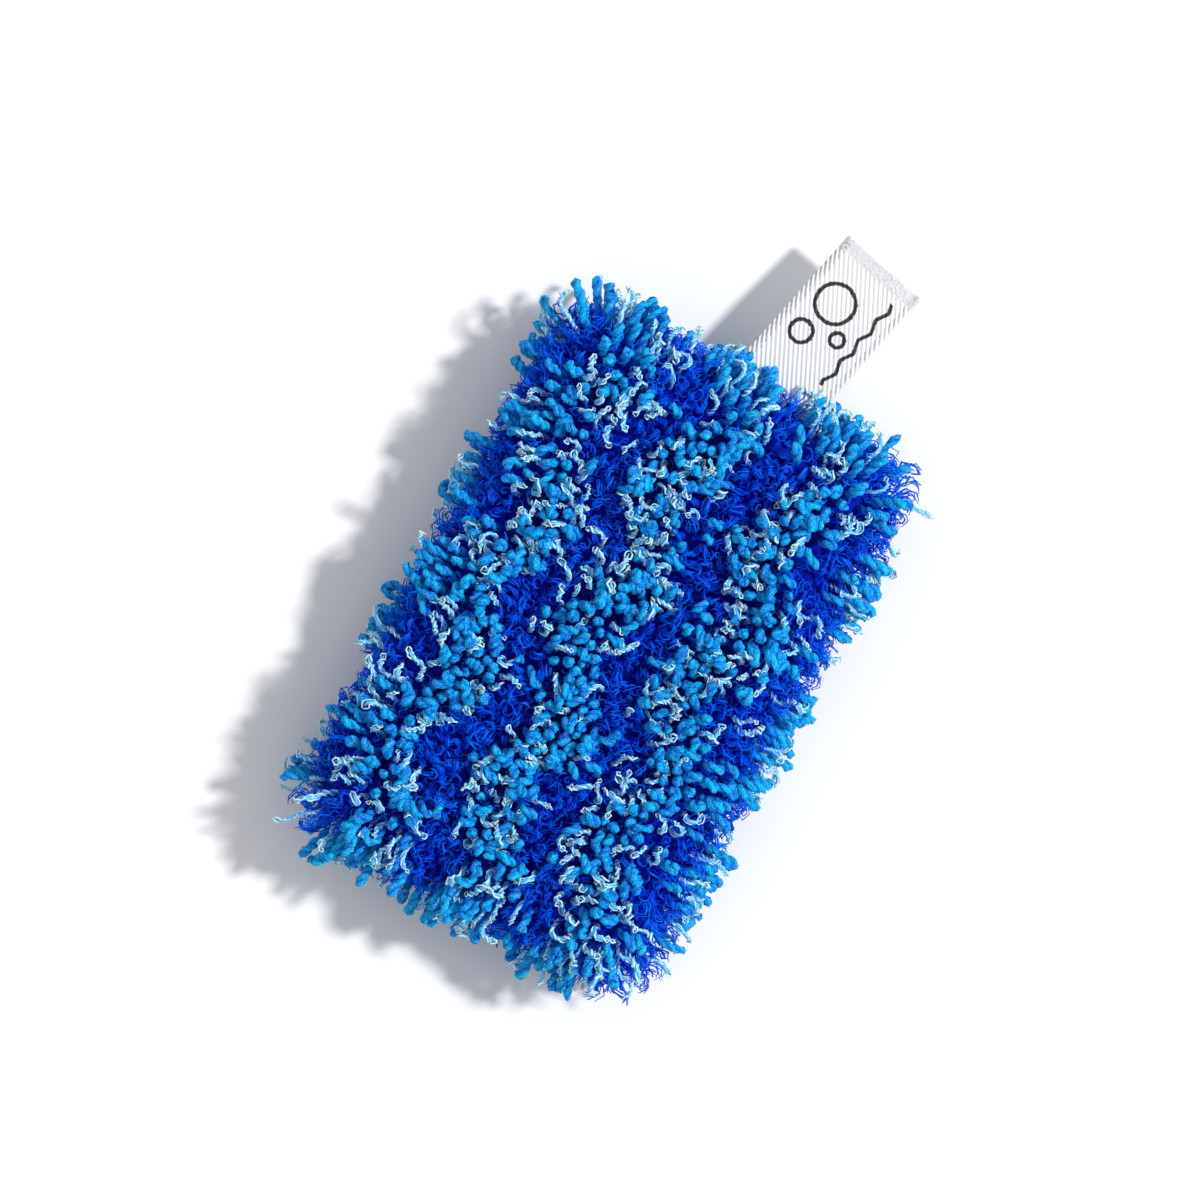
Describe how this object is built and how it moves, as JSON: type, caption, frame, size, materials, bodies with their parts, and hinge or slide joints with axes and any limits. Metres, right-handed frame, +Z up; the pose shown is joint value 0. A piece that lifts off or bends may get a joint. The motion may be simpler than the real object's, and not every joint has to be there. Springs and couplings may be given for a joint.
{
  "type": "cleaning sponge",
  "caption": "Oblong dish sponge: a foam pad in a sewn pouch of shaggy loop-pile cloth with zigzag stripes, and a folded woven label in one short seam.",
  "frame": {"origin": "on the plane the sponge rests on, under the centre of the foam pad", "axes": "+Z up; +X along the pad towards the label; +Y across the pad, so that the stripes run along X"},
  "size_m": [0.1664, 0.0933, 0.0343],
  "materials": {
    "foam": "open-cell foam",
    "royal_cloth": "knitted ground",
    "royal_yarn": "frizzy crimped yarn",
    "sky_yarn": "soft brushed yarn",
    "white_yarn": "twisted shiny yarn",
    "label_ribbon": "woven satin ribbon",
    "sewing_thread": "spun thread"
  },
  "bodies": {
    "root": {"foam_core": "foam", "front_cloth": "royal_cloth", "back_cloth": "royal_cloth", "front_royal_tufts": "royal_yarn", "back_royal_tufts": "royal_yarn", "front_sky_loops": "sky_yarn", "back_sky_loops": "sky_yarn", "front_white_loops": "white_yarn", "back_white_loops": "white_yarn", "woven_label": "label_ribbon", "seam_thread": "sewing_thread"}
  },
  "joints": []
}
